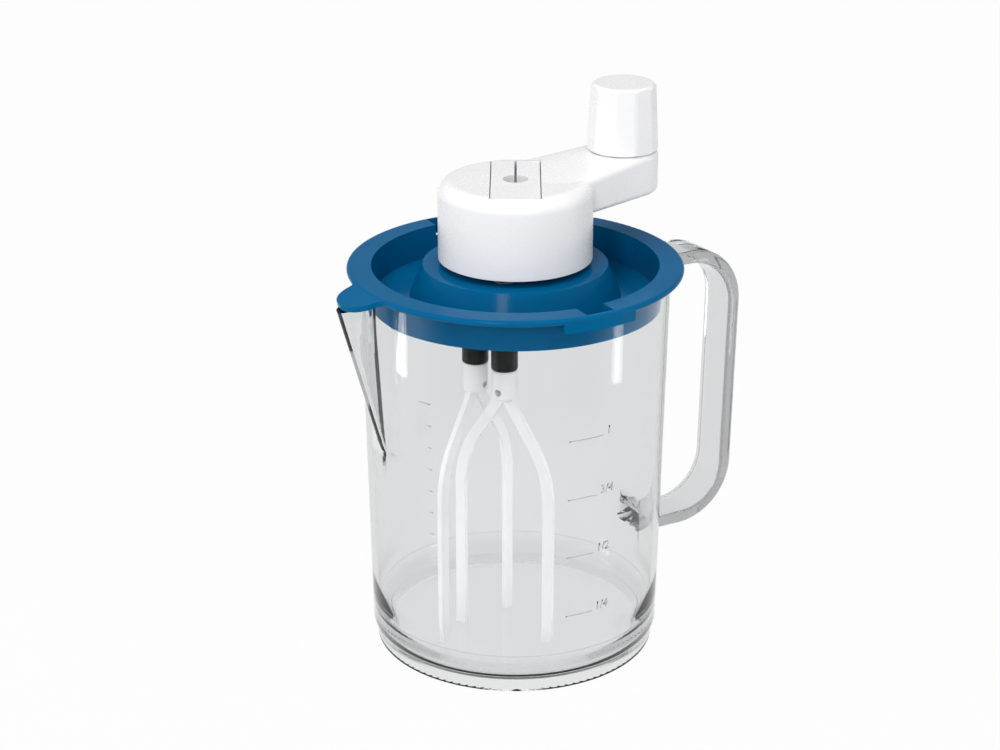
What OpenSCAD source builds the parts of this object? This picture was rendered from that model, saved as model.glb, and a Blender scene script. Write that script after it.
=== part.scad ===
// Hand-cranked mixing pitcher: a clear jug with a plug lid, a crank drum with an internal ring gear,
// and two fork beaters that turn against each other.
// Millimetres, +Z up. The origin is on the jug's axis, on the table. The spout points along -X and
// the handle along +X.

/* [Jug] */
// Height of the rim above the table
jug_h = 156.7; // [145:0.1:175]
// Outside radius of the wall at the rim
rim_r = 61; // [60:0.25:63]
// Outside radius of the wall just above the foot
base_r = 58.2; // [57.6:0.2:60]
// Thickness of the wall and of the spout
wall = 2.2; // [1.8:0.1:2.6]
// Outside radius of the foot ring
foot_r = 56.6; // [54:0.2:57.4]
// Height of the foot ring, up to the step in the wall
foot_h = 6; // [4:0.5:7]
// Thickness of the foot ring
foot_wall = 3; // [2:0.25:5]
// Height of the inside floor above the table
floor_z = 5.6; // [5.4:0.1:6.5]
// Thickness of the floor
floor_t = 2.2; // [1.8:0.1:3]
// Height of the bevel between the floor and the wall
bevel_h = 9.9; // [8:0.1:11]
// Width of the bevel between the floor and the wall
bevel_w = 5; // [4:0.1:6]
// Radius between the bevel and the floor
bevel_round = 6; // [3:0.5:7]

/* [Spout] */
// Distance of the spout's tip from the jug's axis
spout_reach = 79; // [74:0.5:84]
// Height of the spout, from its foot in the wall to the rim
spout_drop = 66.2; // [60:0.2:72]
// Half of the angle between the spout's two cheeks
spout_half_angle = 22; // [19:1:25]
// Outside radius of the spout's nose
spout_nose_r = 4; // [3.2:0.2:5]

/* [Handle] */
// Distance of the grip's outer face from the jug's axis
handle_reach = 102.5; // [94:0.5:112]
// Height of the upper limb's top face
handle_top = 152; // [140:0.5:152.5]
// Height of the lower limb's underside
handle_bottom = 30.5; // [25:0.5:45]
// Width of the handle band
handle_w = 18; // [14:0.5:24]
// Thickness of the handle band
handle_t = 5.6; // [4:0.2:6.4]
// Outside radius of the handle's two bends
handle_bend = 25; // [14:1:28]
// Radius on the band's long edges
handle_edge = 1.4; // [0.6:0.2:1.8]
// Radius of the arched fillet over the lower limb where it meets the wall
handle_fillet = 9.5; // [4:0.5:11]
// Lean of the grip away from the vertical, in degrees
handle_lean = 1.2; // [0:0.2:3]

/* [Lid] */
// Outside radius of the flange that rests on the rim
flange_r = 66; // [64.5:0.25:70]
// Thickness of the flange
flange_t = 2.5; // [2.4:0.1:3.6]
// Depth of the plug below the flange
plug_h = 12.2; // [12:0.1:16]
// Thickness of the plug's wall
plug_wall = 1.9; // [1.5:0.1:2.4]
// Gap between the plug and the jug at the rim
plug_gap = 0.5; // [0.35:0.05:0.8]
// Inward draft of the plug over its depth
plug_draft = 1.1; // [0.6:0.1:2]
// Thickness of the floor of the trough round the boss
trough_t = 2; // [1.6:0.1:2.6]
// Outside radius of the boss that holds the gears
boss_r = 36.3; // [35.4:0.2:39]
// Wall of the boss
boss_wall = 2.4; // [1.8:0.1:2.6]
// Outward draft of the boss's side, from its top down to the plug's underside
boss_draft = 6; // [0.5:0.1:6.5]
// Thickness of the top of the boss
boss_t = 2.4; // [2:0.1:3]
// Direction of the lift tab, which hangs over the spout
tab_angle = 180; // [176:1:188]
// Distance of the lift tab's end from the jug's axis
tab_reach = 77.4; // [76:0.1:84]
// Width of the lift tab
tab_w = 20.5; // [16:0.5:26]
// Radius where the lift tab joins the flange
tab_fillet = 4; // [1.5:0.5:6]
// Thickness of the lift tab
tab_t = 2.2; // [1.8:0.1:2.4]
// Angle at which the lift tab slopes down from the flange
tab_droop = 13; // [4:0.5:14]
// Direction of the first of the two lugs under the flange
lug_angle = -91.5; // [-100:0.5:-80]
// Half of the angle that each lug under the flange spans
lug_half = 13.5; // [9:0.5:20]
// Depth of the lugs under the flange
lug_h = 3.4; // [2:0.2:6]
// Thickness of the lugs
lug_t = 3; // [2:0.2:3.4]
// Width of the finger notch over each lug
notch_w = 11.5; // [8:0.5:16]
// Lip left outside each notch
notch_lip = 2; // [1.8:0.1:3]
// Depth of the notches below the top of the flange
notch_d = 5; // [3.5:0.5:6.5]

/* [Gear cover] */
// Thickness of the cover plate
cover_t = 2; // [1.6:0.1:2.6]
// Distance of the cover's underside above the plug's underside
cover_rise = 1; // [0.6:0.1:1.6]
// Distance of the cover screws from the axis
screw_ring_r = 29; // [27.5:0.5:29.5]
// Radius of the screw shanks
screw_r = 1.4; // [1.2:0.1:1.6]
// Radius of the screw heads
screw_head_r = 2.8; // [2.4:0.1:3.2]
// Length of the screw shanks
screw_l = 9; // [7:0.5:10]

/* [Crank] */
// Outside radius of the drum
drum_r = 30.2; // [30:0.1:32.5]
// Height of the drum
drum_h = 31.3; // [29:0.5:36]
// Gap between the drum and the boss
drum_gap = 2.7; // [2:0.1:3.5]
// Wall of the drum beside the ring gear
drum_wall = 1.6; // [1.2:0.1:1.8]
// Thickness of the drum's top
drum_top_t = 3; // [2:0.2:4]
// Radius of the drum's top edge
drum_round = 5.5; // [3:0.5:6]
// Distance of the knob from the drum's axis
crank_r = 54; // [50:0.5:65]
// Direction of the arm at rest
arm_angle = 7; // [0:1:20]
// Radius of the arm's outer end
arm_end_r = 14.4; // [14.4:0.2:17]
// Half width of the arm where it leaves the drum
arm_root_r = 20; // [16:0.5:22]
// Height of the arm at its outer end
arm_t = 17; // [12:0.2:17]
// Rise of the arm's end above the top of the drum
arm_rise = 2.5; // [1:0.25:4]
// Radius on the arm's edges
arm_edge = 2.4; // [1:0.2:3]
// Wall of the hollow arm
arm_wall = 2.6; // [2.4:0.1:3.5]

/* [Retaining clip] */
// Width of the clip across the drum's top
clip_w = 19; // [14:0.5:22]
// Half length of the clip
clip_half = 24; // [18:0.5:24.5]
// Thickness of the clip
clip_t = 6; // [5:0.25:7]
// Direction of the clip at rest
clip_angle = 59; // [50:1:70]
// Gap on each side of the clip
clip_gap = 0.4; // [0.2:0.05:0.6]
// Width of the slit behind the clip's hole
clip_slit = 0.9; // [0.6:0.1:1.5]

/* [Knob] */
// Height of the knob
knob_h = 26.7; // [22:0.1:32]
// Radius of the knob at its base
knob_base_r = 14.2; // [13:0.2:14.2]
// Radius of the knob at its top
knob_top_r = 12.9; // [12.4:0.1:13.6]
// Depth of the flats on the knob
knob_flat_d = 0.5; // [0.2:0.05:0.6]
// Number of flats on the knob
knob_flats = 10; // [6:1:16]
// Radius of the knob's pin
knob_pin_r = 4; // [3:0.25:5]

/* [Gears] */
// Module of all the teeth
gear_m = 1; // [1:0.005:1.02]
// Teeth of the ring gear in the drum
ring_teeth = 52; // [48:4:52]
// Teeth of the pinion on the drive spindle
pinion_teeth = 12; // [12:1:13]
// Teeth of each of the two equal gears in the boss
pair_teeth = 14; // [14:1:16]
// Height of the ring gear
ring_h = 8.4; // [6:0.2:10]
// Height of the pair gears
pair_h = 5.2; // [4:0.2:5.4]
// Play between meshing flanks
backlash = 0.16; // [0.1:0.01:0.25]
// Direction of the drive spindle from the crank's axis
drive_angle = 188; // [183:1:195]
// Direction from the drive spindle to the idler spindle
pair_angle = -66; // [-75:1:-60]

/* [Spindles and couplers] */
// Radius of the spindles
spindle_r = 3; // [2.5:0.1:3.2]
// Radius of the crank's axle
axle_r = 5; // [4.5:0.1:6]
// Outside radius of the couplers
coupler_r = 5.2; // [5:0.1:6]
// Length of the couplers
coupler_l = 22; // [18:0.5:26]
// Gap between the couplers and the gear cover
coupler_gap = 0.5; // [0.4:0.1:1]
// Depth of the socket for the beater
socket_d = 11; // [8:0.5:12]
// Width of the square shank of the beaters
shank_w = 6; // [5:0.1:6.4]

/* [Beaters] */
// Radius of the beater's hub
hub_r = 5; // [4.6:0.1:5.4]
// Height of the beater's hub
hub_h = 12; // [9:0.5:16]
// Distance of the prongs from the spindle
prong_r = 20.4; // [18:0.2:21]
// Width of the prongs along the radius
prong_w = 4.3; // [3.4:0.1:5]
// Thickness of the fork
prong_t = 2.1; // [1.8:0.1:3]
// Slope of the arms where they leave the hub, from the vertical
arm_slope = 33.5; // [31:0.5:38]
// Radius of the bend between arm and prong
arm_bend = 43; // [30:1:48]
// Gap between the prongs and the jug's floor
prong_gap = 0.9; // [0.8:0.1:3]
// Radius of the cross hole in the hub
cross_hole_r = 1.4; // [0.8:0.1:1.6]
// Distance of the cross hole below the coupler
cross_hole_drop = 8.7; // [5:0.1:9]
// Turn of the drive fork from the line between the spindles
fork_turn = 87; // [80:1:90]

/* [Fits] */
// Radial gap of a turning fit
run_fit = 0.05; // [0.03:0.01:0.08]
// Radial gap of a pressed or glued fit
press_fit = 0.02; // [0.01:0.01:0.03]
// Axial gap where one piece turns on another
end_play = 0.3; // [0.2:0.05:0.4]
// Width of the joints between the jug's wall and its floor and handle
weld_gap = 0.05; // [0.03:0.01:0.08]

/* [Hidden] */
$fn = 96;
// How far cuts run past what they cut, and how deep joined forms sink into each other
over = 1;
sink = 0.5;
// Small gaps: between stacked pieces, and round pieces that drop in loosely
step_gap = 0.2;
loose_gap = 0.4;

// Jug levels and radii
slope = (rim_r - base_r) / (jug_h - foot_h);
foot_step = base_r - foot_r;
spout_foot_z = jug_h - spout_drop;
spout_tilt = atan((spout_reach - wall_radius(spout_foot_z)) / spout_drop);
spout_leg = 42;
spout_below = 12;
spout_low = 1.4 * spout_drop;
spout_len = 1.8 * spout_drop;
limb_in = 20;
crease_z = floor_z + bevel_h;
crease_r = wall_radius(crease_z) - wall;
bevel_lean = atan(bevel_h / bevel_w);
floor_round_r = crease_r - bevel_w - bevel_round * tan(bevel_lean / 2);
floor_rim = 0.5;
floor_panel_r = floor_round_r - floor_rim;

// Lid levels and radii
flange_top = jug_h + flange_t;
plug_bottom = jug_h - plug_h;
plug_top_r = rim_r - wall - plug_gap;
plug_bottom_r = plug_top_r - plug_draft;
flange_in_r = plug_top_r - plug_wall;
trough_r = plug_bottom_r - plug_wall;
boss_in_r = boss_r - boss_wall;
boss_ceiling = flange_top - boss_t;
lug_in_r = flange_r - lug_t;
lug_out_r = flange_r - step_gap;
flange_edge_r = flange_r - flange_t / 2;
notch_out_r = flange_r - notch_lip;
lug_angles = [lug_angle, lug_angle + 180];
notch_in = 2.4;
tab_root_r = flange_edge_r - flange_t / 2;
tab_room_in = 3;
tab_room_h = 10;

// Gear cover, its screws and what they hold
cover_bottom = plug_bottom + cover_rise;
cover_top = cover_bottom + cover_t;
cover_r = boss_in_r - loose_gap;
sleeve_h = 2.2;
sleeve_wall = 2.4;
sleeve_r = spindle_r + sleeve_wall;
seal_w = 1.6;
seal_h = 1.8;
seal_round = 0.5;
screw_angles = [40, 160, 280];
screw_post_wall = 2;
screw_post_r = screw_r + screw_post_wall;
screw_head_h = 1.4;
screw_head_taper = 0.6;
screw_slot = [3, 0.6, 0.9];

// Drum levels
drum_bottom = flange_top + drum_gap;
drum_top = drum_bottom + drum_h;
drum_in_r = drum_r - drum_wall;
drum_ceiling = drum_top - drum_top_t;
ring_rise = 0.9;
ring_bottom = drum_bottom + ring_rise;
ring_top = ring_bottom + ring_h;
ring_ledge = 1;
ring_seat_r = drum_in_r - ring_ledge;
drum_hub_wall = 3.4;
drum_hub_r = axle_r + drum_hub_wall;
axle_rise = 0.1;
axle_seat = drum_bottom + axle_rise;
washer_t = 0.8;
hub_bottom = axle_seat + washer_t + run_fit;
clip_bottom = drum_top - clip_t;
channel_wall = 2;
arm_bottom = drum_top + arm_rise - arm_t;
arm_top = drum_top + arm_rise;
arm_root_x = 12;
arm_root_drop = 0.4;
arm_edge_min = 0.4;
arm_post_wall = 2.6;

// Axle steps
axle_step = 1;
axle_shank_r = axle_r - axle_step;
axle_post_wall = 3;
axle_socket_d = 6.6;
axle_socket_z = boss_ceiling - axle_socket_d;
axle_neck_cut = 1.6;
axle_neck_r = axle_r - axle_neck_cut;
clip_lip = 1.5;
axle_neck_z = clip_bottom - step_gap;
axle_head_cut = 0.5;
axle_head_r = axle_r - axle_head_cut;
axle_head_z = clip_bottom + clip_lip + step_gap;
axle_head_h = 0.8;
axle_slot = [1, 0.4];

// Knob levels
knob_bottom = arm_top + end_play;
knob_top = knob_bottom + knob_h;
knob_edge = 1.2;
knob_foot_edge = 0.5;
cap_t = 2;
cap_rim = 2.4;
cap_r = knob_top_r - cap_rim;
knob_pin_step = 1;
knob_pin_shank_r = knob_pin_r - knob_pin_step;
knob_pin_lip = 2;
knob_pin_head_r = knob_pin_r + knob_pin_lip;
knob_pin_head_h = 1.4;
cap_room = 0.8;
knob_seat = knob_top - cap_t - knob_pin_head_h - cap_room;
knob_pin_head_z = knob_seat + end_play;

// Gear radii and the spindles' places
pressure = 25;
tooth_out = 0.8 * gear_m;
tooth_in = 1.1 * gear_m;
ring_r = gear_m * ring_teeth / 2;
pinion_r = gear_m * pinion_teeth / 2;
pair_r = gear_m * pair_teeth / 2;
drive_r = ring_r - pinion_r;
drive_at = drive_r * [cos(drive_angle), sin(drive_angle)];
idler_at = drive_at + 2 * pair_r * [cos(pair_angle), sin(pair_angle)];
pair_bottom = cover_top + sleeve_h + end_play;
pair_top = pair_bottom + pair_h;
bush_wall = 1.6;
bush_r = spindle_r + bush_wall;
bush_post_wall = 1.8;
bush_lip = 1.2;
bush_flange_r = bush_r + bush_lip;
bush_flange_h = 0.5;
bush_bottom = pair_top + end_play;
pinion_bottom = ring_bottom + loose_gap;
pinion_top = ring_top - step_gap;
spindle_end = 0.6;

// Couplers and beaters
coupler_top = cover_bottom - coupler_gap;
coupler_bottom = coupler_top - coupler_l;
coupler_round = 0.6;
socket_floor = 1.2;
spindle_in = coupler_l - socket_d - socket_floor;
flat_w = 1.5 * spindle_r;
hub_bottom_z = coupler_bottom - hub_h;
hub_round = 0.8;
socket_room = 1;
shank_l = socket_d - socket_room;
shank_gap = 0.1;
prong_bottom = floor_z + prong_gap;
arm_out = prong_r - arm_bend * (1 - cos(arm_slope));
arm_in_hub = 2;
bend_z = hub_bottom_z + arm_in_hub - arm_bend * sin(arm_slope) - arm_out / tan(arm_slope);
drive_fork_angle = pair_angle + fork_turn;
idler_fork_angle = pair_angle + 90 - fork_turn;

// Colours
clear_tint = [0.86, 0.91, 0.93, 0.4];
lid_blue = [0.07, 0.36, 0.58];
white_plastic = [0.95, 0.95, 0.95];
black_rubber = [0.06, 0.06, 0.06];
acetal = [0.88, 0.87, 0.82];
steel = [0.7, 0.71, 0.73];

// Outside radius of the jug's wall at height z
function wall_radius(z) = base_r + slope * (z - foot_h);

// Points along an arc about the centre c, from angle a0 to a1
function arc(c, r, a0, a1, steps) =
    [for (i = [0:steps]) let (a = a0 + (a1 - a0) * i / steps) c + r * [cos(a), sin(a)]];

// Involute of an angle in degrees
function inv(a) = tan(a) - a * PI / 180;

// Half of a tooth's angle at radius r, for n teeth with each flank drawn in by thin
function tooth_half(n, r, thin) =
    let (pitch = gear_m * n / 2, base = pitch * cos(pressure))
    90 / n - thin / pitch * 180 / PI + (inv(pressure) - inv(acos(min(1, base / r)))) * 180 / PI;

// Outline of a gear, its first tooth centred on turn
function gear_points(n, out, into, thin, turn) =
    let (
        pitch = gear_m * n / 2,
        start = max(pitch - into, pitch * cos(pressure)),
        rise = [for (i = [0:3]) start + (pitch + out - start) * i / 3],
        up = concat([pitch - into], rise),
        down = [for (i = [len(up) - 1:-1:0]) up[i]]
    )
    [for (k = [0:n - 1]) each concat(
        [for (r = up)
            let (a = turn + 360 * k / n - tooth_half(n, max(r, start), thin)) r * [cos(a), sin(a)]],
        [for (r = down)
            let (a = turn + 360 * k / n + tooth_half(n, max(r, start), thin)) r * [cos(a), sin(a)]]
    )];

// Ring between two radii and two heights
module tube(r_out, r_in, z0, z1) {
    translate([0, 0, z0])
        difference() {
            cylinder(r = r_out, h = z1 - z0);
            translate([0, 0, -over]) cylinder(r = r_in, h = z1 - z0 + 2 * over);
        }
}

// Solid round bar between two heights
module bar(r, z0, z1) {
    translate([0, 0, z0]) cylinder(r = r, h = z1 - z0);
}

// Part of a ring, centred on the direction mid
module ring_part(r_in, r_out, z0, z1, mid, half) {
    rotate([0, 0, mid - half])
        rotate_extrude(angle = 2 * half)
            translate([r_in, z0]) square([r_out - r_in, z1 - z0]);
}

// Rectangle with rounded corners, from a corner at the origin
module round_rect(w, h, r) {
    translate([r, 0]) square([w - 2 * r, h]);
    translate([0, r]) square([w, h - 2 * r]);
    for (x = [r, w - r], y = [r, h - r])
        translate([x, y]) circle(r);
}

// Spindle places
module at_drive() {
    translate([drive_at[0], drive_at[1], 0]) children();
}

module at_idler() {
    translate([idler_at[0], idler_at[1], 0]) children();
}

// Places a piece at the root of the lift tab, sloping with it
module at_tab() {
    rotate([0, 0, tab_angle])
        translate([tab_root_r, 0, flange_top])
            rotate([0, tab_droop, 0]) children();
}

// Place of the knob at the end of the arm
module at_knob() {
    rotate([0, 0, arm_angle]) translate([crank_r, 0, 0]) children();
}

// Jug: solid of revolution of the outside, grown by extra
module jug_outside(extra) {
    rotate_extrude()
        polygon([
            [0, 0],
            [foot_r + extra, 0],
            [foot_r + extra, foot_h],
            [base_r + extra, foot_h + foot_step],
            [rim_r + extra, jug_h],
            [0, jug_h]
        ]);
}

// Jug: wall, bevel, foot ring and the rim of the floor as one turned section
module jug_shell() {
    round_at = [floor_round_r, floor_z + bevel_round];
    rotate_extrude()
        polygon(concat(
            [
                [foot_r, 0],
                [foot_r, foot_h],
                [base_r, foot_h + foot_step],
                [rim_r, jug_h],
                [rim_r - wall, jug_h],
                [crease_r, crease_z]
            ],
            arc(round_at, bevel_round, bevel_lean - 90, -90, 10),
            [
                [floor_panel_r, floor_z],
                [floor_panel_r, floor_z - floor_t],
                [foot_r - foot_wall, floor_z - floor_t],
                [foot_r - foot_wall, 0]
            ]
        ));
}

// Spout: round-nosed wedge that leans out of the wall, up to the height top
module spout_wedge(nose, top) {
    round = arc([0, 0], nose, spout_half_angle - 90, 90 - spout_half_angle, 12);
    back = spout_leg * [-cos(spout_half_angle), sin(spout_half_angle)];
    rotate([0, 0, 180])
        intersection() {
            translate([spout_reach, 0, jug_h])
                rotate([0, spout_tilt, 0])
                    translate([-spout_nose_r, 0, -spout_low])
                        linear_extrude(height = spout_len)
                            polygon(concat(round, [round[12] + back, round[0] + [back[0], -back[1]]]));
            translate([0, -rim_r, spout_foot_z - spout_below])
                cube([2 * spout_reach, 2 * rim_r, top - spout_foot_z + spout_below]);
        }
}

// Jug: the cone inside the wall, from below the spout to past the rim
module inside_cone() {
    z0 = spout_foot_z - 2 * spout_below;
    z1 = jug_h + over;
    translate([0, 0, z0])
        cylinder(r1 = wall_radius(z0) - wall / 2, r2 = wall_radius(z1) - wall / 2, h = z1 - z0);
}

// Jug: room cut from the spout's lip for the lid's sloping tab
module tab_room() {
    at_tab()
        translate([-tab_room_in, -rim_r, -tab_t - loose_gap])
            cube([spout_reach, 2 * rim_r, tab_t + loose_gap + tab_room_h]);
}

module jug_body() {
    color(clear_tint)
        difference() {
            union() {
                jug_shell();
                difference() {
                    spout_wedge(spout_nose_r, jug_h);
                    inside_cone();
                }
            }
            spout_wedge(spout_nose_r - wall, jug_h + over);
            tab_room();
        }
}

// Flat panel of the floor inside the bevel
module jug_floor() {
    color(clear_tint) bar(floor_panel_r - weld_gap, floor_z - floor_t, floor_z);
}

// Handle: section of the band, thickness along x, centred on y
module band_section() {
    translate([-handle_t, -handle_w / 2]) round_rect(handle_t, handle_w, handle_edge);
}

// Handle: a quarter bend about the centre (x, z), starting at the angle from
module band_bend(x, z, from) {
    translate([x, 0, z])
        rotate([90, -from, 0])
            rotate_extrude(angle = 90)
                translate([handle_bend, 0]) band_section();
}

// Handle: arched fillet over the lower limb, whose top face is at the height z
module limb_arch(z) {
    wall_x = wall_radius(z);
    back_x = wall_x - limb_in / 2;
    fillet = arc([wall_x + handle_fillet, z + handle_fillet], handle_fillet, 180, 270, 8);
    intersection() {
        rotate([90, 0, 0])
            linear_extrude(height = handle_w, center = true)
                polygon(concat(fillet, [
                    [wall_x + handle_fillet, z - handle_edge],
                    [back_x, z - handle_edge],
                    [back_x, z + handle_fillet]
                ]));
        translate([0, 0, z])
            rotate([0, 90, 0]) cylinder(r = handle_w / 2 - step_gap, h = handle_reach);
    }
}

module jug_handle() {
    bend_x = handle_reach - handle_bend;
    limb = bend_x - base_r + limb_in;
    limb_top = handle_bottom + handle_t;
    grip = handle_top - handle_bottom - 2 * handle_bend;
    mid_z = (handle_top + handle_bottom) / 2;
    color(clear_tint)
        difference() {
            translate([handle_reach, 0, mid_z])
                rotate([0, handle_lean, 0])
                    translate([-handle_reach, 0, -mid_z]) {
                        translate([handle_reach, 0, handle_bottom + handle_bend])
                            linear_extrude(height = grip) band_section();
                        band_bend(bend_x, handle_top - handle_bend, 0);
                        band_bend(bend_x, handle_bottom + handle_bend, 270);
                        translate([bend_x, 0, handle_top])
                            rotate([0, -90, 0]) linear_extrude(height = limb) band_section();
                        translate([bend_x, 0, limb_top])
                            rotate([0, -90, 0]) linear_extrude(height = limb) band_section();
                        limb_arch(limb_top);
                    }
            jug_outside(weld_gap);
        }
}

// Lid: half section of the flange, plug, trough and boss
module lid_section() {
    translate([flange_in_r, jug_h]) square([flange_edge_r - flange_in_r, flange_t]);
    translate([flange_edge_r, jug_h + flange_t / 2]) circle(flange_t / 2);
    polygon([
        [flange_in_r, flange_top],
        [trough_r, plug_bottom],
        [plug_bottom_r, plug_bottom],
        [plug_top_r, jug_h],
        [plug_top_r, flange_top]
    ]);
    translate([boss_in_r, plug_bottom]) square([plug_bottom_r - boss_in_r - plug_wall / 2, trough_t]);
    polygon([
        [boss_in_r, plug_bottom],
        [boss_r + boss_draft, plug_bottom],
        [boss_r, flange_top],
        [boss_in_r, flange_top]
    ]);
    translate([0, boss_ceiling]) square([boss_r - boss_wall / 2, boss_t]);
}

// Lid: one side of the lift tab's outline, from the flange to the middle of the round end
function tab_side(end_r) =
    let (
        y = end_r + tab_fillet,
        x = sqrt(pow(lug_out_r + tab_fillet, 2) - y * y)
    )
    concat(
        arc([x, y], tab_fillet, 180 + atan(y / x), 270, 6),
        arc([tab_reach - end_r, 0], end_r, 90, 0, 12)
    );

// Lid: lift tab sloping down over the spout, with a round end and filleted root
module lift_tab() {
    side = tab_side(tab_w / 2);
    last = len(side) - 1;
    at_tab()
        translate([-tab_root_r, 0, -tab_t])
            linear_extrude(height = tab_t)
                polygon(concat(
                    [[tab_root_r, side[0][1]]],
                    side,
                    [for (i = [last - 1:-1:0]) [side[i][0], -side[i][1]]],
                    [[tab_root_r, -side[0][1]]]
                ));
}

// Lid: finger notch through the flange and the plug's wall
module notch() {
    translate([trough_r - notch_in, -notch_w / 2, flange_top - notch_d])
        cube([notch_out_r - trough_r + notch_in, notch_w, notch_d + over]);
}

module lid() {
    color(lid_blue)
        difference() {
            union() {
                rotate_extrude() lid_section();
                lift_tab();
                for (a = lug_angles)
                    ring_part(lug_in_r, lug_out_r, jug_h - lug_h, jug_h + flange_t / 2, a, lug_half);
                for (a = screw_angles)
                    rotate([0, 0, a])
                        translate([screw_ring_r, 0, 0]) bar(screw_post_r, cover_top, boss_ceiling + sink);
                bar(axle_shank_r + axle_post_wall, axle_socket_z, boss_ceiling + sink);
                bar(drum_hub_r, flange_top - sink, axle_seat);
                at_drive() bar(bush_r + bush_post_wall, bush_bottom + bush_flange_h, boss_ceiling + sink);
                at_idler() bar(bush_r + bush_post_wall, bush_bottom + bush_flange_h, boss_ceiling + sink);
            }
            for (a = lug_angles)
                rotate([0, 0, a]) notch();
            for (a = screw_angles)
                rotate([0, 0, a])
                    translate([screw_ring_r, 0, 0])
                        bar(screw_r + press_fit, cover_top - over, cover_bottom + screw_l + sink);
            bar(axle_shank_r + press_fit, axle_socket_z - over, axle_seat + over);
            at_drive() bar(bush_r + press_fit, bush_bottom - over, flange_top + over);
            at_idler() bar(bush_r + press_fit, bush_bottom - over, flange_top + over);
        }
}

// Steel axle pressed into the boss: shank, journal for the drum, neck for the clip, head
module crank_axle() {
    color(steel) {
        bar(axle_shank_r, axle_socket_z, axle_seat);
        bar(axle_r, axle_seat, axle_neck_z);
        bar(axle_neck_r, axle_neck_z, axle_head_z);
        difference() {
            bar(axle_head_r, axle_head_z, axle_head_z + axle_head_h);
            translate([-axle_r, -axle_slot[0] / 2, axle_head_z + axle_head_h - axle_slot[1]])
                cube([2 * axle_r, axle_slot[0], axle_slot[1] + over]);
        }
    }
}

module drum_washer() {
    color(acetal) tube(drum_hub_r - step_gap, axle_r + run_fit, axle_seat, axle_seat + washer_t);
}

// Flanged bush for a spindle, pressed up into the top of the boss
module bush() {
    difference() {
        union() {
            bar(bush_r, bush_bottom, flange_top - step_gap);
            bar(bush_flange_r, bush_bottom, bush_bottom + bush_flange_h);
        }
        bar(spindle_r + run_fit, bush_bottom - over, flange_top + over);
    }
}

module spindle_bushes() {
    color(acetal) {
        at_drive() bush();
        at_idler() bush();
    }
}

// Cover plate under the boss, with a sleeve and a seal groove round each spindle
module gear_cover() {
    color(white_plastic)
        difference() {
            union() {
                bar(cover_r, cover_bottom, cover_top);
                at_drive() bar(sleeve_r, cover_top - sink, cover_top + sleeve_h);
                at_idler() bar(sleeve_r, cover_top - sink, cover_top + sleeve_h);
            }
            at_drive() cover_bore();
            at_idler() cover_bore();
            for (a = screw_angles)
                rotate([0, 0, a])
                    translate([screw_ring_r, 0, 0])
                        bar(screw_r + press_fit, cover_bottom - over, cover_top + over);
        }
}

// Bore for a spindle with a counterbore for its seal below
module cover_bore() {
    bar(spindle_r + run_fit, cover_bottom - over, cover_top + sleeve_h + over);
    bar(spindle_r + seal_w + press_fit, cover_bottom - over, cover_bottom + seal_h);
}

// Ring seals in the counterbores of the cover
module spindle_seals() {
    color(black_rubber) {
        at_drive() seal();
        at_idler() seal();
    }
}

module seal() {
    translate([0, 0, cover_bottom])
        rotate_extrude()
            translate([spindle_r + run_fit, 0]) round_rect(seal_w - run_fit, seal_h, seal_round);
}

// Pan-head screws that hold the cover, heads below
module cover_screws() {
    color(steel)
        for (a = screw_angles)
            rotate([0, 0, a])
                translate([screw_ring_r, 0, 0])
                    difference() {
                        union() {
                            bar(screw_r, cover_bottom - sink, cover_bottom + screw_l);
                            translate([0, 0, cover_bottom])
                                rotate([180, 0, 0])
                                    cylinder(
                                        r1 = screw_head_r,
                                        r2 = screw_head_r - screw_head_taper,
                                        h = screw_head_h
                                    );
                        }
                        for (turn = [0, 90])
                            rotate([0, 0, turn])
                                translate([0, 0, cover_bottom - screw_head_h + (screw_slot[2] - over) / 2])
                                    cube(screw_slot + [0, 0, over], center = true);
                    }
}

// Arm of the crank, drawn in by inset for its hollow underside
module arm_form(inset, bottom) {
    edge = max(arm_edge_min, arm_edge - inset);
    root_top = drum_top - arm_root_drop;
    rotate([0, 0, arm_angle])
        hull() {
            translate([arm_root_x, 0, 0]) arm_disc(arm_root_r - inset, bottom, root_top - inset, edge);
            translate([crank_r, 0, 0]) arm_disc(arm_end_r - inset, bottom, arm_top - inset, edge);
        }
}

// Disc with rounded edges between two heights
module arm_disc(r, z0, z1, edge) {
    translate([0, 0, z0])
        rotate_extrude($fn = 64) {
            square([r - edge, z1 - z0]);
            translate([0, edge]) square([r, z1 - z0 - 2 * edge]);
            for (z = [edge, z1 - z0 - edge])
                translate([r - edge, z]) circle(edge, $fn = 24);
        }
}

// Drum: outside, with the rounded top edge
module drum_outside() {
    rotate_extrude() {
        translate([0, drum_bottom]) square([drum_r, drum_h - drum_round]);
        translate([0, drum_bottom]) square([drum_r - drum_round, drum_h]);
        translate([drum_r - drum_round, drum_top - drum_round]) circle(drum_round);
    }
}

// Drum: inside, with the seat of the ring gear below and the hub left standing
module drum_inside() {
    difference() {
        union() {
            bar(drum_in_r + press_fit, drum_bottom - over, ring_top);
            bar(ring_seat_r, ring_top - over, drum_ceiling);
        }
        bar(drum_hub_r, hub_bottom, drum_top);
        rotate([0, 0, clip_angle])
            translate([0, 0, clip_bottom - channel_wall + clip_t / 2])
                cube(
                    [2 * clip_half, clip_w + 2 * clip_gap, clip_t] + 2 * [channel_wall, channel_wall, 0],
                    center = true
                );
    }
}

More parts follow.
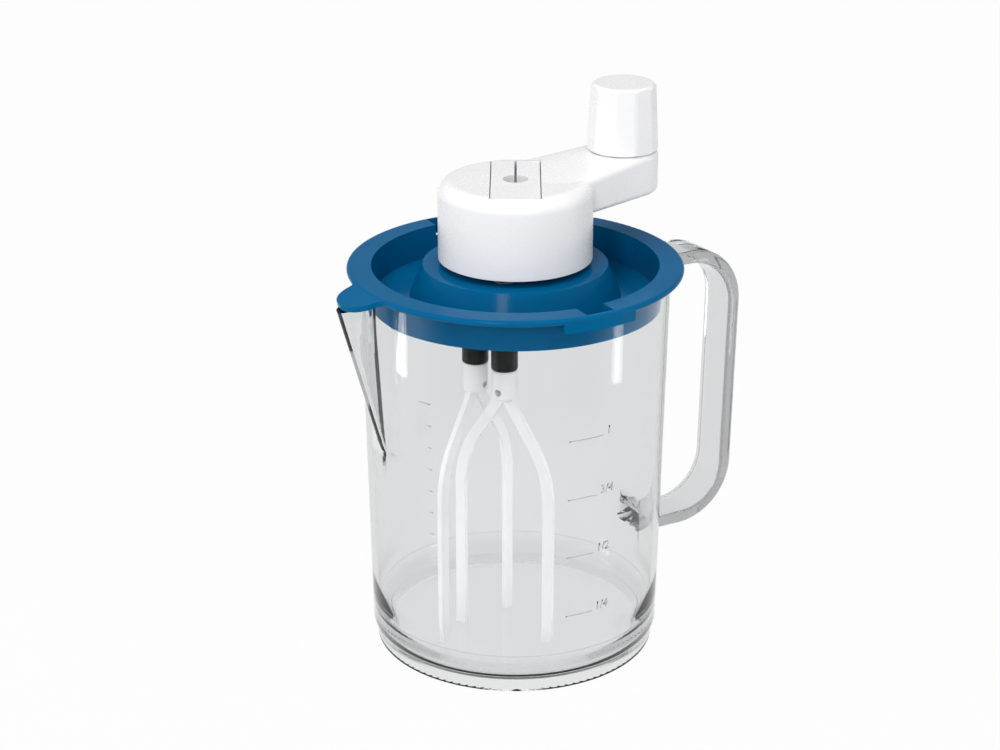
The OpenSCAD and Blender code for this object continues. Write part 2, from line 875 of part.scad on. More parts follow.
module crank_drum() {
    color(white_plastic)
        difference() {
            union() {
                drum_outside();
                difference() {
                    arm_form(0, arm_bottom);
                    difference() {
                        arm_form(arm_wall, arm_bottom - over);
                        at_knob() bar(knob_pin_shank_r + arm_post_wall, arm_bottom, arm_top);
                        bar(drum_r - sink, arm_bottom - over, arm_top);
                    }
                }
            }
            drum_inside();
            bar(axle_r + run_fit, drum_bottom, drum_top + over);
            rotate([0, 0, clip_angle])
                translate([-clip_half - clip_gap, -clip_w / 2 - clip_gap, clip_bottom])
                    cube([2 * (clip_half + clip_gap), clip_w + 2 * clip_gap, clip_t + over]);
            at_knob() bar(knob_pin_shank_r + press_fit, arm_bottom - over, arm_top + over);
        }
}

// Internal gear pressed into the drum, a tooth space centred on the drive spindle's side
module ring_gear() {
    color(acetal)
        translate([0, 0, ring_bottom])
            linear_extrude(height = ring_h)
                difference() {
                    circle(drum_in_r);
                    polygon(gear_points(ring_teeth, tooth_in, tooth_out, -backlash / 4, drive_angle));
                }
}

// Clip that slides into the drum's top and holds the axle's neck
module post_clip() {
    color(white_plastic)
        difference() {
            rotate([0, 0, clip_angle])
                translate([-clip_half, -clip_w / 2, clip_bottom]) cube([2 * clip_half, clip_w, clip_t]);
            bar(axle_neck_r + run_fit, clip_bottom - over, drum_top + over);
            bar(axle_head_r + loose_gap, clip_bottom + clip_lip, drum_top + over);
            rotate([0, 0, clip_angle])
                translate([0, -clip_slit / 2, clip_bottom - over])
                    cube([clip_half + over, clip_slit, clip_t + 2 * over]);
        }
}

// Headed pin pressed into the arm, on which the knob turns
module knob_pin() {
    color(steel)
        at_knob() {
            bar(knob_pin_shank_r, arm_bottom + over, arm_top);
            bar(knob_pin_r, arm_top, knob_pin_head_z);
            bar(knob_pin_head_r, knob_pin_head_z, knob_pin_head_z + knob_pin_head_h);
        }
}

// Tapered knob with flats, bored for its pin and recessed for its cap
module knob() {
    taper = atan((knob_base_r - knob_top_r) / knob_h);
    color(white_plastic)
        at_knob()
            difference() {
                translate([0, 0, knob_bottom])
                    rotate_extrude()
                        polygon([
                            [0, 0],
                            [knob_base_r - knob_foot_edge, 0],
                            [knob_base_r, knob_foot_edge],
                            [knob_top_r, knob_h - knob_edge],
                            [knob_top_r - knob_edge, knob_h],
                            [0, knob_h]
                        ]);
                for (k = [0:knob_flats - 1])
                    rotate([0, 0, 360 * (k + 0.5) / knob_flats])
                        translate([knob_base_r - knob_flat_d, -knob_base_r, knob_bottom])
                            rotate([0, -taper, 0])
                                translate([0, 0, -over])
                                    cube([knob_base_r, 2 * knob_base_r, knob_h + 2 * over]);
                bar(knob_pin_r + run_fit, knob_bottom - over, knob_top);
                bar(knob_pin_head_r + loose_gap, knob_seat, knob_top);
                bar(cap_r + press_fit, knob_top - cap_t, knob_top + over);
            }
}

module knob_cap() {
    color(white_plastic) at_knob() bar(cap_r, knob_top - cap_t, knob_top);
}

// Round spindle with two flats at its lower end, and at its upper end if flat_top is set
module spindle(top, flat_top) {
    low = coupler_top - spindle_in;
    difference() {
        bar(spindle_r, low, top);
        for (side = [-1, 1])
            translate([0, side * (flat_w / 2 + spindle_r), 0]) {
                translate([0, 0, (low + coupler_top) / 2])
                    cube([3 * spindle_r, 2 * spindle_r, coupler_top - low], center = true);
                if (flat_top)
                    translate([0, 0, (pinion_bottom + top + over) / 2])
                        cube([3 * spindle_r, 2 * spindle_r, top + over - pinion_bottom], center = true);
            }
    }
}

// Hole that fits the spindle's two flats
module flat_hole(z0, z1) {
    intersection() {
        bar(spindle_r + press_fit, z0, z1);
        translate([0, 0, (z0 + z1) / 2])
            cube([3 * spindle_r, flat_w + 2 * press_fit, z1 - z0 + over], center = true);
    }
}

// Spur gear with n teeth, its first tooth centred on turn
module spur(n, z0, z1, turn) {
    translate([0, 0, z0])
        linear_extrude(height = z1 - z0)
            polygon(gear_points(n, tooth_out, tooth_in, backlash / 4, turn));
}

// One of the two equal gears inside the boss, pressed onto its spindle
module pair_gear(turn) {
    difference() {
        spur(pair_teeth, pair_bottom, pair_top, turn);
        bar(spindle_r + press_fit, pair_bottom - over, pair_top + over);
    }
}

// Sleeve between spindle and beater, with a square socket below
module coupler() {
    color(black_rubber)
        difference() {
            translate([0, 0, coupler_bottom])
                rotate_extrude()
                    round_rect_half(coupler_r, coupler_l, coupler_round);
            flat_hole(coupler_top - spindle_in, coupler_top + over);
            translate([0, 0, coupler_bottom + socket_d / 2])
                cube([shank_w + 2 * shank_gap, shank_w + 2 * shank_gap, socket_d + 2 * over], center = true);
        }
}

// Half of a rounded rectangle, from the axis outward
module round_rect_half(w, h, r) {
    square([w - r, h]);
    translate([0, r]) square([w, h - 2 * r]);
    for (y = [r, h - r])
        translate([w - r, y]) circle(r);
}

// One arm and prong of a fork, in its own plane, x outward and y up
module fork_half() {
    centre = [prong_r - arm_bend, bend_z];
    half = prong_w / 2;
    run = arm_out / sin(arm_slope) * [-sin(arm_slope), cos(arm_slope)];
    outer = arc(centre, arm_bend + half, 0, arm_slope, 10);
    inner = arc(centre, arm_bend - half, arm_slope, 0, 10);
    polygon(concat(
        [[prong_r - half, prong_bottom], [prong_r + half, prong_bottom]],
        outer,
        [outer[10] + run, inner[0] + run],
        inner
    ));
}

// Fork beater: square shank, hub with a cross hole, two arms that bend down into prongs
module beater(angle) {
    color(white_plastic)
        difference() {
            union() {
                translate([0, 0, coupler_bottom])
                    rotate_extrude() mirror([0, 1]) round_rect_half(hub_r, hub_h, hub_round);
                translate([-shank_w / 2, -shank_w / 2, coupler_bottom - sink])
                    cube([shank_w, shank_w, shank_l + sink]);
                rotate([0, 0, angle])
                    rotate([90, 0, 0])
                        linear_extrude(height = prong_t, center = true) {
                            fork_half();
                            mirror([1, 0]) fork_half();
                        }
            }
            rotate([0, 0, angle])
                translate([0, 0, coupler_bottom - cross_hole_drop])
                    rotate([90, 0, 0]) cylinder(r = cross_hole_r, h = 4 * hub_r, center = true);
        }
}

module drive_spindle() {
    color(steel) at_drive() spindle(pinion_top + spindle_end, true);
}

module drive_pinion() {
    color(acetal)
        at_drive()
            difference() {
                spur(pinion_teeth, pinion_bottom, pinion_top, drive_angle);
                flat_hole(pinion_bottom - over, pinion_top + over);
            }
}

module drive_gear() {
    color(acetal) at_drive() pair_gear(pair_angle);
}

module drive_coupler() {
    at_drive() coupler();
}

module drive_beater() {
    at_drive() beater(drive_fork_angle);
}

module idler_spindle() {
    color(steel) at_idler() spindle(flange_top - loose_gap, false);
}

module idler_gear() {
    color(acetal) at_idler() pair_gear(pair_angle + 180 + 180 / pair_teeth);
}

module idler_coupler() {
    at_idler() coupler();
}

module idler_beater() {
    at_idler() beater(idler_fork_angle);
}

jug_body();
jug_floor();
jug_handle();
lid();
crank_axle();
drum_washer();
spindle_bushes();
gear_cover();
spindle_seals();
cover_screws();
crank_drum();
ring_gear();
post_clip();
knob_pin();
knob();
knob_cap();
drive_spindle();
drive_pinion();
drive_gear();
drive_coupler();
drive_beater();
idler_spindle();
idler_gear();
idler_coupler();
idler_beater();
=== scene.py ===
# Looks of the formula mixing pitcher: camera, materials, graduations, clear jug and studio
import math

import bmesh
import bpy
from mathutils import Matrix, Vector
from mathutils.bvhtree import BVHTree


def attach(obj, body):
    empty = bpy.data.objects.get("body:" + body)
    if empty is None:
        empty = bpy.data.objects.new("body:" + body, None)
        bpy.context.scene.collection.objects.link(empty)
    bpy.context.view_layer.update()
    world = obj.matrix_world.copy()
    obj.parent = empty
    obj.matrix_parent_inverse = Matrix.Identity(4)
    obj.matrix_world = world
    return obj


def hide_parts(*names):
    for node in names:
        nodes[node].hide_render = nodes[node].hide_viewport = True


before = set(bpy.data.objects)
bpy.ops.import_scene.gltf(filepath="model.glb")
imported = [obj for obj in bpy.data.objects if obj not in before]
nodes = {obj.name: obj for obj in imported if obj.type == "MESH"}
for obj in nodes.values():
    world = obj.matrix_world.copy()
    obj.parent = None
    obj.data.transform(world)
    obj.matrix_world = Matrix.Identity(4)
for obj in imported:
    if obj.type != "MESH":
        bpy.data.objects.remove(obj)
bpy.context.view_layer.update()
scene = bpy.context.scene
scene.view_settings.view_transform = "Standard"
MM = 0.001


# Camera at the photograph's viewing angle
CAMERA_AT = (-0.4389, -0.7304, 0.4581)
CAMERA_TILT = math.radians(67.87)
CAMERA_TURN = math.radians(-30.6)
CAMERA_LENS = 83.04
CAMERA_SENSOR = 36


def make_camera():
    data = bpy.data.cameras.new("camera")
    data.lens = CAMERA_LENS
    data.sensor_width = CAMERA_SENSOR
    data.sensor_fit = "HORIZONTAL"
    camera = bpy.data.objects.new("camera", data)
    camera.location = CAMERA_AT
    camera.rotation_euler = (CAMERA_TILT, 0, CAMERA_TURN)
    scene.collection.objects.link(camera)
    scene.camera = camera


# Node helpers
NOISE_MIDDLE = (0.3, 0.7)
FINE_DETAIL = 2

# Sockets of a Mix node, picked by number because its colours and floats share their names
COLOUR_A = 6
COLOUR_B = 7
COLOUR_RESULT = 2
FLOAT_A = 2
FLOAT_B = 3
FLOAT_RESULT = 0


def add_node(tree, kind, **values):
    """A new shader node with its properties and unlinked inputs set by name."""
    node = tree.nodes.new(kind)
    for name, value in values.items():
        label = name.replace("_", " ")
        if label in node.inputs:
            node.inputs[label].default_value = value
        else:
            setattr(node, name, value)
    return node


def feed(tree, socket, value):
    """Links another node's output to a socket, or sets the socket to a number."""
    if isinstance(value, bpy.types.NodeSocket):
        tree.links.new(value, socket)
    else:
        socket.default_value = value


def noise(tree, scale, detail=3.0):
    """Noise in the part's own metres."""
    coords = add_node(tree, "ShaderNodeTexCoord")
    texture = add_node(tree, "ShaderNodeTexNoise", Scale=scale, Detail=detail)
    tree.links.new(coords.outputs["Object"], texture.inputs["Vector"])
    return texture.outputs["Fac"]


def spread(tree, factor, low, high):
    """The noise factor mapped from its middle range onto low to high."""
    ramp = add_node(tree, "ShaderNodeMapRange", From_Min=NOISE_MIDDLE[0], From_Max=NOISE_MIDDLE[1],
                    To_Min=low, To_Max=high)
    tree.links.new(factor, ramp.inputs["Value"])
    return ramp.outputs[0]


def fade(tree, value, start, end):
    """A smooth step of the value, from 0 at start to 1 at end."""
    step = add_node(tree, "ShaderNodeMapRange", interpolation_type="SMOOTHSTEP", From_Min=start,
                    From_Max=end)
    tree.links.new(value, step.inputs["Value"])
    return step.outputs[0]


def between(tree, factor, low, high):
    """Low where the factor is 0 and high where it is 1; each end may be another node's output."""
    share = add_node(tree, "ShaderNodeMix", data_type="FLOAT")
    tree.links.new(factor, share.inputs["Factor"])
    feed(tree, share.inputs[FLOAT_A], low)
    feed(tree, share.inputs[FLOAT_B], high)
    return share.outputs[FLOAT_RESULT]


def product(tree, first, second):
    both = add_node(tree, "ShaderNodeMath", operation="MULTIPLY")
    feed(tree, both.inputs[0], first)
    feed(tree, both.inputs[1], second)
    return both.outputs[0]


def any_bounce(tree, path, depth):
    """1 on rays that have bounced at least once in the named way."""
    bounced = add_node(tree, "ShaderNodeMath", operation="MINIMUM")
    bounced.inputs[1].default_value = 1
    tree.links.new(path.outputs[depth], bounced.inputs[0])
    return bounced.outputs[0]


def bump(tree, factor, shader, strength, depth):
    node = add_node(tree, "ShaderNodeBump", Strength=strength, Distance=depth)
    tree.links.new(factor, node.inputs["Height"])
    tree.links.new(node.outputs["Normal"], shader.inputs["Normal"])


def principled(name):
    material = bpy.data.materials.new(name)
    material.use_nodes = True
    tree = material.node_tree
    return material, tree, tree.nodes["Principled BSDF"]


# Materials, with the scale of their noise per metre and the depth of their grain in metres
CLOUD_SCALE = 55
GRAIN_SCALE = 1500
GRAIN_BUMP = 0.25
GRAIN_DEPTH = 0.00002
CLEAR_COLOUR = (0.97, 0.98, 0.98, 1)
CLEAR_TINT = (0.38, 0.395, 0.41, 1)
CLEAR_DENSITY = 58
CLEAR_IOR = 1.33
WAVE_SCALE = 70
WAVE_BUMP = 0.2
STEEL_COLOUR = (0.55, 0.55, 0.56, 1)
STEEL_ROUGH = (0.2, 0.36)
TURNING_SCALE = 2500
TURNING_BUMP = 0.2


def moulded(name, dark, light, rough, specular, depth=GRAIN_DEPTH):
    """Opaque moulded plastic: faint flow clouds in the colour and a fine grain in the gloss."""
    material, tree, shader = principled(name)
    mix = add_node(tree, "ShaderNodeMix", data_type="RGBA")
    mix.inputs[COLOUR_A].default_value = (*dark, 1)
    mix.inputs[COLOUR_B].default_value = (*light, 1)
    tree.links.new(spread(tree, noise(tree, CLOUD_SCALE), 0, 1), mix.inputs["Factor"])
    tree.links.new(mix.outputs[COLOUR_RESULT], shader.inputs["Base Color"])
    grain = noise(tree, GRAIN_SCALE, FINE_DETAIL)
    tree.links.new(spread(tree, grain, *rough), shader.inputs["Roughness"])
    bump(tree, grain, shader, GRAIN_BUMP, depth)
    shader.inputs["Specular IOR Level"].default_value = specular
    return material


def clear_plastic(name, rough, depth):
    """Clear moulded plastic, grey in its thick edges, with a slightly wavy skin."""
    material, tree, shader = principled(name)
    shader.inputs["Base Color"].default_value = CLEAR_COLOUR
    shader.inputs["Transmission Weight"].default_value = 1
    shader.inputs["IOR"].default_value = CLEAR_IOR
    wave = noise(tree, WAVE_SCALE, FINE_DETAIL)
    tree.links.new(spread(tree, wave, *rough), shader.inputs["Roughness"])
    bump(tree, wave, shader, WAVE_BUMP, depth)
    volume = add_node(tree, "ShaderNodeVolumeAbsorption", Color=CLEAR_TINT, Density=CLEAR_DENSITY)
    tree.links.new(volume.outputs["Volume"], tree.nodes["Material Output"].inputs["Volume"])
    return material


def turned_steel(name):
    """Bright steel with fine turning marks."""
    material, tree, shader = principled(name)
    shader.inputs["Base Color"].default_value = STEEL_COLOUR
    shader.inputs["Metallic"].default_value = 1
    marks = noise(tree, TURNING_SCALE, FINE_DETAIL)
    tree.links.new(spread(tree, marks, *STEEL_ROUGH), shader.inputs["Roughness"])
    bump(tree, marks, shader, TURNING_BUMP, GRAIN_DEPTH)
    return material


MATERIALS = {
    "clear": clear_plastic("clear", rough=(0.012, 0.04), depth=0.00006),
    "lid_blue": moulded("lid_blue", dark=(0.0004, 0.104, 0.255), light=(0.0006, 0.115, 0.275),
                        rough=(0.13, 0.19), specular=0.05, depth=0.000005),
    "white": moulded("white", dark=(0.86, 0.86, 0.87), light=(0.885, 0.885, 0.895),
                     rough=(0.2, 0.3), specular=0.4, depth=0.000006),
    "black_rubber": moulded("black_rubber", dark=(0.005, 0.005, 0.0055), light=(0.009, 0.009, 0.0095),
                            rough=(0.34, 0.46), specular=0.35),
    "acetal": moulded("acetal", dark=(0.72, 0.72, 0.70), light=(0.77, 0.77, 0.75),
                      rough=(0.4, 0.5), specular=0.4),
    "steel": turned_steel("steel"),
}
MARK = clear_plastic("frosted_mark", rough=(0.15, 0.25), depth=0.00003)
NODE_SLOTS = {
    "clear": ("jug_body", "jug_floor", "jug_handle"),
    "lid_blue": ("lid",),
    "white": ("crank_drum", "post_clip", "knob", "knob_cap", "drive_beater", "idler_beater",
              "gear_cover"),
    "black_rubber": ("drive_coupler", "idler_coupler", "spindle_seals"),
    "acetal": ("drum_washer", "spindle_bushes", "ring_gear", "drive_pinion", "drive_gear",
               "idler_gear"),
    "steel": ("crank_axle", "cover_screws", "knob_pin", "drive_spindle", "idler_spindle"),
}


def dress(piece, material):
    piece.data.materials.clear()
    piece.data.materials.append(material)


def dress_nodes():
    for slot, names in NODE_SLOTS.items():
        for name in names:
            dress(nodes[name], MATERIALS[slot])


def mesh_piece(name, mesh, material, body):
    """A smooth piece of the visual model that rides a body."""
    piece = bpy.data.objects.new(name, mesh)
    scene.collection.objects.link(piece)
    dress(piece, material)
    for face in mesh.polygons:
        face.use_smooth = True
    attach(piece, body)
    return piece


# Graduations: raised frosted marks on the jug's outer wall, with angles in degrees
MARK_TALL = 0.45 * MM
MARK_PROUD = 0.12 * MM
MARK_SINK = 0.05 * MM
MARK_SHOULDER = 0.6
FAR_OUT = 0.15

# Each quarter mark's height in mm, its figure and how far it goes round the wall
QUARTERS = ((107.2, "1", 14), (82.6, "3/4", 12), (57.9, "1/2", 11), (32.3, "1/4", 11))
QUARTER_FROM = -101
FIGURE_TALL = 3.4
FIGURE_SHARE = 0.7
FIGURE_GAP = 1.5
FIGURE_UP = 0.3
FINE_TO = -153
FINE_SHORT = 1.6
FINE_LONG = 5
FINE_Z = 65.5
FINE_STEP = 9.12
FINE_COUNT = 7
FINE_THIN = 0.8


def wall_finder():
    """A function that gives the jug's outer radius at an angle and a height."""
    tree = BVHTree.FromObject(nodes["jug_body"], bpy.context.evaluated_depsgraph_get())

    def radius(angle, z):
        out = Vector((math.cos(angle), math.sin(angle), 0))
        hit = tree.ray_cast(out * FAR_OUT + Vector((0, 0, z)), -out)[0]
        return hit.to_2d().length

    return radius


WALL = wall_finder()


def on_wall(angle, z, out):
    r = WALL(angle, z) + out
    return Vector((r * math.cos(angle), r * math.sin(angle), z))


def add_line(bm, start, end, z, tall):
    """A thin rib with a rounded top, round the wall from one angle to another."""
    steps = max(3, int(abs(end - start)))
    shoulder = MARK_PROUD * MARK_SHOULDER
    section = ((-0.5, -MARK_SINK), (-0.5, shoulder), (-0.25, MARK_PROUD),
               (0.25, MARK_PROUD), (0.5, shoulder), (0.5, -MARK_SINK))
    rings = []
    for i in range(steps + 1):
        angle = math.radians(start + (end - start) * i / steps)
        rings.append([bm.verts.new(on_wall(angle, z + up * tall, out)) for up, out in section])
    count = len(section)
    for a, b in zip(rings, rings[1:]):
        for k in range(count):
            bm.faces.new((a[k], b[k], b[(k + 1) % count], a[(k + 1) % count]))
    bm.faces.new(rings[0])
    bm.faces.new(rings[-1])


def flat_figure(words):
    """The closed, triangulated solid of some figures, lying flat."""
    curve = bpy.data.curves.new("figure", "FONT")
    curve.body = words
    curve.size = FIGURE_TALL * MM / FIGURE_SHARE
    curve.extrude = (MARK_PROUD + MARK_SINK) / 2
    shape = bpy.data.objects.new("figure", curve)
    scene.collection.objects.link(shape)
    flat = bmesh.new()
    flat.from_mesh(shape.to_mesh())
    shape.to_mesh_clear()
    bpy.data.objects.remove(shape)
    bpy.data.curves.remove(curve)
    bmesh.ops.remove_doubles(flat, verts=flat.verts, dist=1e-7)
    bmesh.ops.triangulate(flat, faces=flat.faces)
    return flat


def add_figure(bm, words, angle, z):
    """Raised figures bent onto the wall, reading upright from outside."""
    flat = flat_figure(words)
    start = math.radians(angle)
    middle = WALL(start, z)
    made = {}
    for v in flat.verts:
        x, y, depth = v.co
        out = depth + (MARK_PROUD - MARK_SINK) / 2
        made[v] = bm.verts.new(on_wall(start + x / middle, z + y, out))
    for face in flat.faces:
        bm.faces.new([made[v] for v in face.verts])
    flat.free()


def make_graduations():
    quarters = bmesh.new()
    figures = bmesh.new()
    for z, words, sweep in QUARTERS:
        end = QUARTER_FROM + sweep
        add_line(quarters, QUARTER_FROM, end, z * MM, MARK_TALL)
        add_figure(figures, words, end + FIGURE_GAP, (z + FIGURE_UP) * MM)
    fine = bmesh.new()
    for i in range(FINE_COUNT):
        sweep = FINE_LONG if i == FINE_COUNT - 1 else FINE_SHORT
        z = FINE_Z + i * FINE_STEP
        add_line(fine, FINE_TO - sweep, FINE_TO, z * MM, MARK_TALL * FINE_THIN)
    for name, bm in (("quarter_marks", quarters), ("quarter_figures", figures),
                     ("fine_marks", fine)):
        bmesh.ops.recalc_face_normals(bm, faces=bm.faces)
        mesh = bpy.data.meshes.new(name)
        bm.to_mesh(mesh)
        bm.free()
        mesh_piece(name, mesh, MARK, "jug")


# The clear jug as one moulding, with no faces between its wall, floor and handle
JOIN_DEPTH = 0.3 * MM
JOIN_REACH = 0.1 * MM
SHARP = math.radians(28)
TURN_STEPS = 192

# Radii and heights in mm: the floor's rounded edge and the crease where it meets the wall
SHELL = 2.2
FOOT_BORE = 53.55
COVE_R = 47.48
COVE_ROUND = 6
COVE_Z = 11.6
COVE_FROM = 2.4
COVE_STEPS = 10
CREASE_R = 56.18
CREASE_Z = 15.5
CREASE_LINE = 0.16
CREASE_SIDES = 6
FLOOR_EDGE = max(v.co.to_2d().length for v in nodes["jug_floor"].data.vertices)


def jug_copy(name, move=None):
    """A closed copy of one of the jug's nodes, with each vertex moved by a function."""
    bm = bmesh.new()
    bm.from_mesh(nodes[name].data)
    bm.transform(nodes[name].matrix_world)
    bmesh.ops.remove_doubles(bm, verts=bm.verts, dist=1e-6)
    if move:
        for v in bm.verts:
            v.co = move(v.co)
    mesh = bpy.data.meshes.new("copy_of_" + name)
    bm.to_mesh(mesh)
    bm.free()
    piece = bpy.data.objects.new(mesh.name, mesh)
    scene.collection.objects.link(piece)
    return piece


def scaled_out(co, share):
    """The point with its distance from the jug's axis scaled by a share."""
    return Vector((co.x, co.y, 0)) * share + Vector((0, 0, co.z))


def into_rim(co):
    """The edge of the floor panel, moved out into the rim round it."""
    r = co.to_2d().length
    if r < FLOOR_EDGE / 2:
        return co
    return scaled_out(co, 1 + JOIN_DEPTH / r)


def into_wall(co):
    """The ends of the handle, moved in under the wall's skin."""
    r = co.to_2d().length
    wall = WALL(math.atan2(co.y, co.x), co.z)
    if r > wall + JOIN_REACH:
        return co
    return scaled_out(co, (wall - JOIN_DEPTH) / r)


def turned(name, points):
    """A ring turned round the jug's axis from a closed section of radii and heights in mm."""
    bm = bmesh.new()
    rings = []
    for i in range(TURN_STEPS):
        turn = 2 * math.pi * i / TURN_STEPS
        rings.append([bm.verts.new((r * math.cos(turn) * MM, r * math.sin(turn) * MM, z * MM))
                      for r, z in points])
    for a, b in zip(rings, rings[1:] + rings[:1]):
        for k, low in enumerate(a):
            after = (k + 1) % len(a)
            bm.faces.new((low, b[k], b[after], a[after]))
    bmesh.ops.recalc_face_normals(bm, faces=bm.faces)
    mesh = bpy.data.meshes.new(name)
    bm.to_mesh(mesh)
    bm.free()
    return mesh


def under_bevel():
    """The hollow under the rounded edge of the floor, which keeps the shell one thickness there."""
    points = [(COVE_R, COVE_FROM)]
    reach = COVE_ROUND + SHELL
    last = math.acos((FOOT_BORE - COVE_R) / reach)
    for i in range(COVE_STEPS + 1):
        angle = math.pi / 2 - (math.pi / 2 - last) * i / COVE_STEPS
        points.append((COVE_R + reach * math.cos(angle), COVE_Z - reach * math.sin(angle)))
    points.append((FOOT_BORE, COVE_FROM))
    piece = bpy.data.objects.new("under_bevel", turned("under_bevel", points))
    scene.collection.objects.link(piece)
    return piece


def make_clear_jug():
    """Wall, floor and handle joined into one mesh, less the hollow under the floor's edge."""
    whole = jug_copy("jug_body")
    parts = (
        (jug_copy("jug_floor", into_rim), "UNION"),
        (jug_copy("jug_handle", into_wall), "UNION"),
        (under_bevel(), "DIFFERENCE"),
    )
    for part, operation in parts:
        join = whole.modifiers.new("join", "BOOLEAN")
        join.operation = operation
        join.solver = "EXACT"
        join.object = part
    depsgraph = bpy.context.evaluated_depsgraph_get()
    mesh = bpy.data.meshes.new_from_object(whole.evaluated_get(depsgraph))
    for copy in (whole, *(part for part, operation in parts)):
        old = copy.data
        bpy.data.objects.remove(copy)
        bpy.data.meshes.remove(old)
    mesh.name = "clear_jug"
    jug = mesh_piece("clear_jug", mesh, MATERIALS["clear"], "jug")
    mesh.set_sharp_from_angle(angle=SHARP)
    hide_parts("jug_body", "jug_floor", "jug_handle")


def make_crease_line():
    """The fine moulded line where the bevel of the floor meets the wall."""
    section = []
    for i in range(CREASE_SIDES):
        angle = 2 * math.pi * i / CREASE_SIDES
        section.append((CREASE_R + CREASE_LINE * math.cos(angle),
                        CREASE_Z + CREASE_LINE * math.sin(angle)))
    mesh_piece("crease_line", turned("crease_line", section), MARK, "jug")


# Studio, in metres
FLOOR_GLOW = 0.97
FLOOR_HALF = 12.0
FLOOR_DROP = 0.0003
PAPER = (0.5, 0.5, 0.5, 1)
WORLD_LIGHT = 0.4
BEHIND_GLASS = 0.92
INSIDE_LIGHT = 2.3
# The card below paints a dark reflection of the floor before the part: only reflected rays see it
CARD_HALF = 1.0
CARD_DROP = FLOOR_DROP / 3
CARD_BLACK = (0.01, 0.01, 0.01, 1)
CARD_SHADE = 0.9
CARD_NEAR_FADE = (0.24, 0.34)
CARD_FAR_FADE = (0.65, 0.5)
CARD_SIDE_FADE = (0.25, 0.7)
TARGET = Vector((0, 0, 0.1))


def make_world():
    """Soft light all round, white where it is seen, and brighter on what stands behind the clear wall."""
    world = bpy.data.worlds.new("studio")
    scene.world = world
    world.use_nodes = True
    tree = world.node_tree
    background = tree.nodes["Background"]
    background.inputs["Color"].default_value = (1, 1, 1, 1)
    path = add_node(tree, "ShaderNodeLightPath")
    through = between(tree, any_bounce(tree, path, "Diffuse Depth"), BEHIND_GLASS, INSIDE_LIGHT)
    unseen = between(tree, path.outputs["Is Transmission Ray"], WORLD_LIGHT, through)
    seen = between(tree, path.outputs["Is Camera Ray"], unseen, 1)
    tree.links.new(seen, background.inputs["Strength"])


def sheet(name, half, z):
    """A level square of the studio, with the empty node tree of its own material."""
    mesh = bpy.data.meshes.new(name)
    square = [(x * half, y * half, z) for x, y in ((-1, -1), (1, -1), (1, 1), (-1, 1))]
    mesh.from_pydata(square, [], [(0, 1, 2, 3)])
    piece = bpy.data.objects.new(name, mesh)
    scene.collection.objects.link(piece)
    material, tree, shader = principled(name)
    tree.nodes.remove(shader)
    mesh.materials.append(material)
    return piece, tree


def mix_surface(tree, share, first, second):
    """Sets the surface to two shaders, with the share that the second has."""
    mix = add_node(tree, "ShaderNodeMixShader")
    tree.links.new(share, mix.inputs[0])
    tree.links.new(first.outputs[0], mix.inputs[1])
    tree.links.new(second.outputs[0], mix.inputs[2])
    tree.links.new(mix.outputs[0], tree.nodes["Material Output"].inputs["Surface"])


def make_floor():
    """A white sheet under the part that keeps a faint shadow."""
    floor, tree = sheet("floor", FLOOR_HALF, -FLOOR_DROP)
    paper = add_node(tree, "ShaderNodeBsdfDiffuse", Color=PAPER)
    glow = add_node(tree, "ShaderNodeEmission")
    path = add_node(tree, "ShaderNodeLightPath")
    straight = between(tree, path.outputs["Is Transmission Ray"], 1, BEHIND_GLASS)
    tree.links.new(straight, glow.inputs["Strength"])
    share = between(tree, path.outputs["Is Diffuse Ray"], FLOOR_GLOW, 0)
    mix_surface(tree, share, paper, glow)


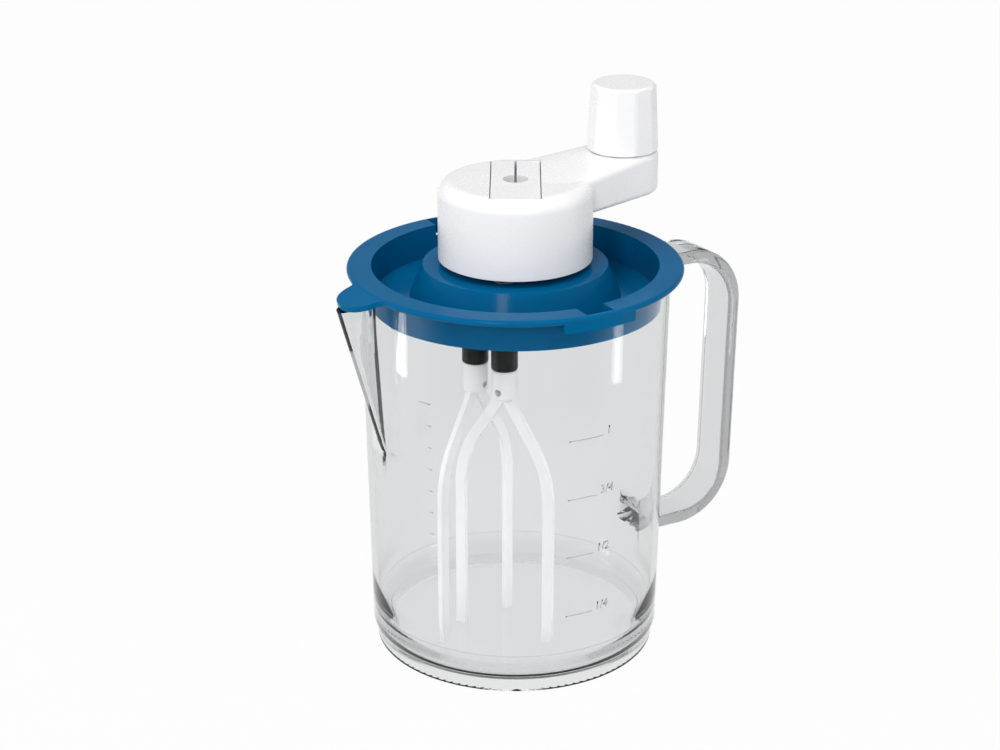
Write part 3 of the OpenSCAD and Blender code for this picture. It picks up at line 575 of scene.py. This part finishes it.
def make_painted_reflection_card():
    """A painted dark reflection: a dark card before the part that only reflections show, with soft edges.
    """
    card, tree = sheet("painted_reflection_card", CARD_HALF, -CARD_DROP)
    place = add_node(tree, "ShaderNodeNewGeometry").outputs["Position"]
    far = add_node(tree, "ShaderNodeVectorMath", operation="LENGTH")
    tree.links.new(place, far.inputs[0])
    way = add_node(tree, "ShaderNodeVectorMath", operation="NORMALIZE")
    tree.links.new(place, way.inputs[0])
    front = add_node(tree, "ShaderNodeVectorMath", operation="DOT_PRODUCT")
    front.inputs[1].default_value = Vector((*CAMERA_AT[:2], 0)).normalized()
    tree.links.new(way.outputs[0], front.inputs[0])
    shade = product(tree, fade(tree, far.outputs["Value"], *CARD_NEAR_FADE),
                    fade(tree, far.outputs["Value"], *CARD_FAR_FADE))
    shade = product(tree, shade, fade(tree, front.outputs["Value"], *CARD_SIDE_FADE))
    path = add_node(tree, "ShaderNodeLightPath")
    # Black only on rays that have been reflected at least once: painted dark reflection
    shade = product(tree, shade, any_bounce(tree, path, "Glossy Depth"))
    unseen = add_node(tree, "ShaderNodeBsdfTransparent")
    black = add_node(tree, "ShaderNodeBsdfDiffuse", Color=CARD_BLACK)
    mix_surface(tree, product(tree, shade, CARD_SHADE), unseen, black)
    card.visible_camera = False
    card.visible_diffuse = False
    card.visible_shadow = False


def lamp(name, turn, distance, height, size, watts, glossy=True, through=True):
    """A soft panel aimed at the part; turn is measured from the camera, to the right.
    It may be left out of reflections, and out of what is seen through the clear wall."""
    angle = math.atan2(CAMERA_AT[1], CAMERA_AT[0]) + math.radians(turn)
    data = bpy.data.lights.new(name, "AREA")
    data.shape = "RECTANGLE"
    data.size, data.size_y = size
    data.energy = watts
    light = bpy.data.objects.new(name, data)
    light.location = (math.cos(angle) * distance, math.sin(angle) * distance, height)
    light.rotation_euler = (light.location - TARGET).to_track_quat("Z", "Y").to_euler()
    light.visible_camera = False
    light.visible_glossy = glossy
    light.visible_transmission = through
    scene.collection.objects.link(light)


def make_lights():
    lamp("key", turn=-15, distance=1.16, height=0.69, size=(0.26, 0.34), watts=3.8, through=False)
    lamp("front_fill", turn=0, distance=1.2, height=0.1, size=(0.9, 0.5), watts=4.2, glossy=False,
         through=False)
    lamp("left_fill", turn=-80, distance=1.1, height=0.6, size=(0.9, 0.9), watts=2.5, glossy=False)
    lamp("right_fill", turn=75, distance=1.1, height=0.6, size=(0.9, 0.9), watts=2.0, glossy=False)
    lamp("overhead", turn=-30, distance=0.27, height=1.37, size=(1.2, 1.2), watts=9.8, glossy=False)
    lamp("left_card", turn=-88, distance=0.33, height=0.022, size=(0.06, 0.035), watts=0.05)
    lamp("right_card", turn=76, distance=0.33, height=0.02, size=(0.045, 0.035), watts=0.025)


make_camera()
dress_nodes()
make_clear_jug()
make_crease_line()
make_graduations()
make_world()
make_floor()
make_painted_reflection_card()
make_lights()
